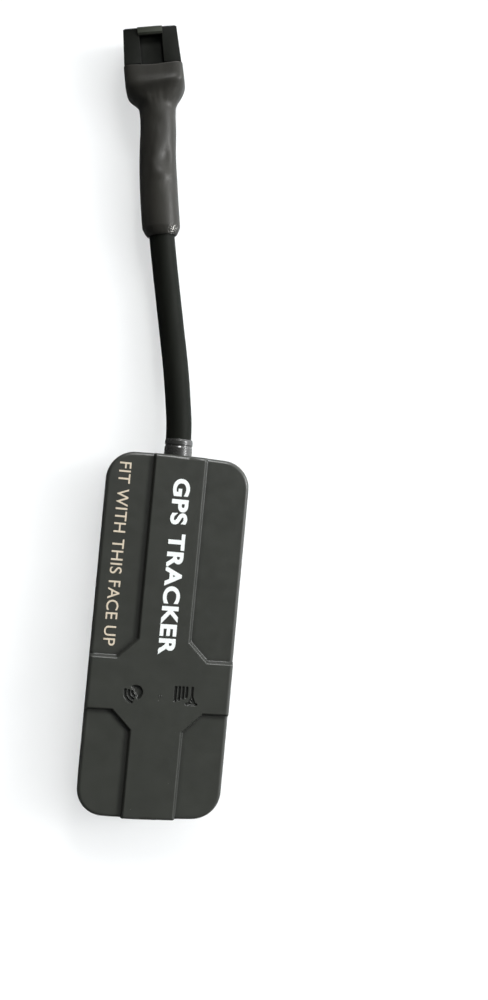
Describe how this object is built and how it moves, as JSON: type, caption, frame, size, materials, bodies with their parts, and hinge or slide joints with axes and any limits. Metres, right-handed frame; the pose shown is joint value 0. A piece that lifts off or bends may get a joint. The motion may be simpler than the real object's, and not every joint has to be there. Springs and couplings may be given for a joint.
{
  "type": "vehicle gps tracker",
  "caption": "Flat rectangular vehicle tracker box with a raised cross on its cover and a short sleeved cable that ends in a pin connector.",
  "frame": {"origin": "centre of the case underside, which lies on the surface", "axes": "+Y along the case towards the end where the cable leaves, +Z out of the cover, the face that looks at the sky, +X to the right of both"},
  "size_m": [0.0388, 0.1829, 0.012],
  "materials": {
    "cover_plastic": "fine satin moulded texture",
    "case_plastic": "fine satin moulded texture",
    "silicone": "soft silicone cord",
    "screw_steel": "zinc plated",
    "label_film": "blank matt label",
    "board_laminate": "green solder mask",
    "module_laminate": "blue solder mask",
    "antenna_ceramic": "fired tan ceramic",
    "silvered_electrode": "matt silver print",
    "flex_film": "amber flexible film",
    "tinned_sheet": "tinned sheet",
    "chip_epoxy": "moulded epoxy",
    "ferrite": "sintered ferrite",
    "capacitor_can": "drawn can",
    "fuse_body": "green polymer body",
    "led_body": "clear lens over phosphor",
    "insulator_black": "moulded",
    "insulator_ivory": "moulded nylon",
    "gold_contact": "gold flash",
    "card_plastic": "smooth card",
    "pouch_foil": "laminated foil pouch",
    "polyimide_tape": "amber tape",
    "foam_tape": "double-sided foam",
    "wire_red": "smooth insulation",
    "wire_black": "smooth insulation",
    "wire_yellow": "smooth insulation",
    "wire_white": "smooth insulation",
    "tin_plating": "tin plated",
    "gland_rubber": "matt moulded rubber",
    "cable_pvc": "satin cable jacket",
    "shrink_polyolefin": "semi-gloss shrunk tube",
    "connector_nylon": "moulded nylon"
  },
  "bodies": {
    "tracker": {"battery_cap": "polyimide_tape", "battery_cell": "pouch_foil", "battery_header": "insulator_ivory", "battery_lead_black": "wire_black", "battery_lead_red": "wire_red", "battery_plug": "insulator_ivory", "battery_tape": "foam_tape", "board_screws": "screw_steel", "bottom_case": "case_plastic", "cable_gland": "gland_rubber", "cable_header": "insulator_ivory", "cable_jacket": "cable_pvc", "cable_plug": "insulator_ivory", "case_gasket": "silicone", "case_screws": "screw_steel", "circuit_board": "board_laminate", "connector_housing": "connector_nylon", "connector_pins": "tin_plating", "controller_chip": "chip_epoxy", "core_black": "wire_black", "core_red": "wire_red", "core_white": "wire_white", "core_yellow": "wire_yellow", "filter_capacitor": "capacitor_can", "gsm_antenna": "flex_film", "header_pins": "tin_plating", "modem_board": "module_laminate", "modem_shield": "tinned_sheet", "motion_sensor": "chip_epoxy", "network_led": "led_body", "patch_antenna": "antenna_ceramic", "patch_electrode": "silvered_electrode", "power_inductor": "ferrite", "rating_label": "label_film", "resettable_fuse": "fuse_body", "satellite_led": "led_body", "shrink_sleeve": "shrink_polyolefin", "sim_contacts": "gold_contact", "sim_holder_base": "insulator_black", "sim_holder_shell": "tinned_sheet", "surge_diode": "chip_epoxy", "switch_housing": "tinned_sheet", "top_cover": "cover_plastic"},
    "sim_card": {"sim_card": "card_plastic"},
    "switch_slider": {"switch_slider": "insulator_black"}
  },
  "joints": [
    {"name": "sim_card_slide", "type": "slide", "parent": "tracker", "child": "sim_card", "axis": [0, 1, 0], "range_m": [0, 0.011]},
    {"name": "battery_switch_slide", "type": "slide", "parent": "tracker", "child": "switch_slider", "axis": [-1, 0, 0], "range_m": [0, 0.002]}
  ]
}
